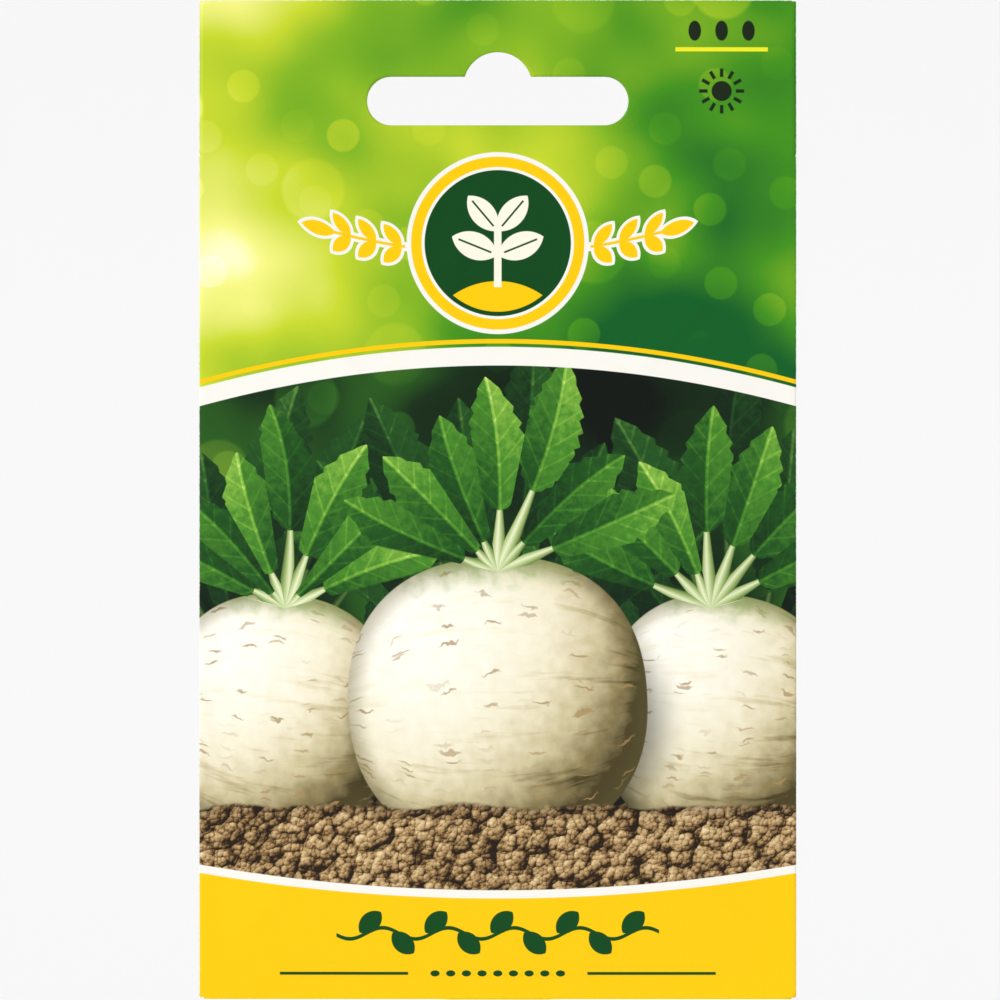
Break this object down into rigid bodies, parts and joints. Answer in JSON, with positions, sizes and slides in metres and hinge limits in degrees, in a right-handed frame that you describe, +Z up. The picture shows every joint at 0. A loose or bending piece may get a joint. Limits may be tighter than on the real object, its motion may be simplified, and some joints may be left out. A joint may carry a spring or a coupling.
{
  "type": "seed packet",
  "caption": "Flat printed paper seed packet with a hanging slot, folded and glued from one blank, holding a sealed foil-lined sachet of parsley root seeds.",
  "frame": {"origin": "where the packet hangs on a peg: the top of the round notch in the hanging slot, halfway through the paper", "axes": "+X to the right as the printed front is seen, +Y from the front to the back, +Z up"},
  "size_m": [0.08, 0.0042, 0.134],
  "materials": {
    "printed_paper": "satin",
    "foil_paper": "satin",
    "dry_glue": "satin",
    "seed_coat": "matte"
  },
  "bodies": {
    "root": {"printed_envelope": "printed_paper", "header_glue": "dry_glue", "header_flap_glue": "dry_glue", "back_seam_glue": "dry_glue", "bottom_flap_glue": "dry_glue", "sachet_front_film": "foil_paper", "sachet_back_film": "foil_paper", "seed_01": "seed_coat", "seed_02": "seed_coat", "seed_03": "seed_coat", "seed_04": "seed_coat", "seed_05": "seed_coat", "seed_06": "seed_coat", "seed_07": "seed_coat", "seed_08": "seed_coat", "seed_09": "seed_coat", "seed_10": "seed_coat", "seed_11": "seed_coat", "seed_12": "seed_coat", "seed_13": "seed_coat", "seed_14": "seed_coat", "seed_15": "seed_coat", "seed_16": "seed_coat", "seed_17": "seed_coat", "seed_18": "seed_coat", "seed_19": "seed_coat", "seed_20": "seed_coat", "seed_21": "seed_coat", "seed_22": "seed_coat", "seed_23": "seed_coat", "seed_24": "seed_coat", "seed_25": "seed_coat", "seed_26": "seed_coat", "seed_27": "seed_coat", "seed_28": "seed_coat", "seed_29": "seed_coat", "seed_30": "seed_coat", "seed_31": "seed_coat", "seed_32": "seed_coat", "seed_33": "seed_coat", "seed_34": "seed_coat", "seed_35": "seed_coat", "seed_36": "seed_coat", "seed_37": "seed_coat", "seed_38": "seed_coat", "seed_39": "seed_coat", "seed_40": "seed_coat", "seed_41": "seed_coat", "seed_42": "seed_coat"}
  },
  "joints": []
}
